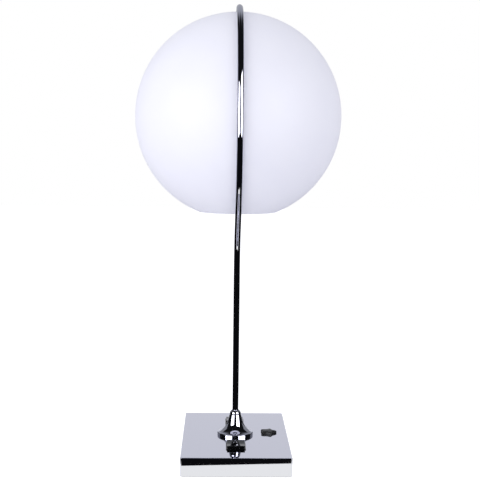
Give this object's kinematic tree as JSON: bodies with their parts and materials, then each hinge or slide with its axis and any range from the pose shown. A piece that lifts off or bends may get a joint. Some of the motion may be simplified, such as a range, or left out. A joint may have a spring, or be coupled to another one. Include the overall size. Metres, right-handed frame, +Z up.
{
  "type": "globe table lamp",
  "caption": "Chrome table lamp: an oblong base, a trumpet foot and a thin tube that bows forward and arches over an open-bottomed opal globe, with rocker switches and a star dimmer knob.",
  "frame": {"origin": "centre of the felt underside, on the stem's axis, at table level", "axes": "+Z up along the stem, -Y towards the viewer and the front rocker, +X towards the dimmer knob"},
  "size_m": [0.2999, 0.3102, 0.6543],
  "materials": {
    "chrome_plate": "mirror",
    "opal_acrylic": "gloss",
    "black_plastic": "gloss",
    "felt": "matte",
    "zinc_steel": "satin",
    "cast_iron": "matte",
    "brass": "satin",
    "black_rubber": "matte",
    "wire_sheath": "satin",
    "white_moulding": "satin",
    "lamp_glass": "frosted",
    "lamp_cap_metal": "satin"
  },
  "bodies": {
    "lamp": {"base_cover": "chrome_plate", "bell_foot": "chrome_plate", "stem_collar": "chrome_plate", "stem_tube": "chrome_plate", "globe_shade": "opal_acrylic", "front_switch_housing": "black_plastic", "rear_switch_housing": "black_plastic", "felt_pad": "felt", "bottom_plate": "zinc_steel", "bottom_screws": "zinc_steel", "cover_pillars": "zinc_steel", "collar_screw": "zinc_steel", "stem_nipple": "zinc_steel", "stem_washer": "zinc_steel", "stem_nut": "zinc_steel", "tube_end_sleeve": "zinc_steel", "carrier_upper_nut": "zinc_steel", "carrier_lower_nut": "zinc_steel", "shade_carrier": "zinc_steel", "ballast_weight": "cast_iron", "front_switch_terminals": "brass", "rear_switch_terminals": "brass", "dimmer_terminals": "brass", "dimmer_bush": "brass", "dimmer_nut": "brass", "terminal_screws": "brass", "holder_shell": "brass", "holder_contact": "brass", "bulb_tip": "brass", "cord_grommet": "black_rubber", "shade_gasket": "black_rubber", "stem_flex": "wire_sheath", "base_leads": "wire_sheath", "terminal_block": "white_moulding", "holder_cap": "white_moulding", "holder_body": "white_moulding", "dimmer_body": "white_moulding", "bulb_glass": "lamp_glass", "bulb_cap": "lamp_cap_metal"},
    "front_rocker": {"front_rocker": "black_plastic"},
    "rear_rocker": {"rear_rocker": "black_plastic"},
    "dimmer": {"dimmer_shaft": "zinc_steel", "dimmer_knob": "black_plastic"}
  },
  "joints": [
    {"name": "front_rocker_tilt", "type": "hinge", "parent": "lamp", "child": "front_rocker", "pos_m": [0, -0.063, 0.0245], "axis": [-1, 0, 0], "range_deg": [0, 6]},
    {"name": "rear_rocker_tilt", "type": "hinge", "parent": "lamp", "child": "rear_rocker", "pos_m": [0, 0.063, 0.0245], "axis": [1, 0, 0], "range_deg": [0, 6]},
    {"name": "dimmer_turn", "type": "hinge", "parent": "lamp", "child": "dimmer", "pos_m": [0.0492, 0.006, 0.03], "axis": [0, 0, 1], "range_deg": [-150, 150]}
  ]
}
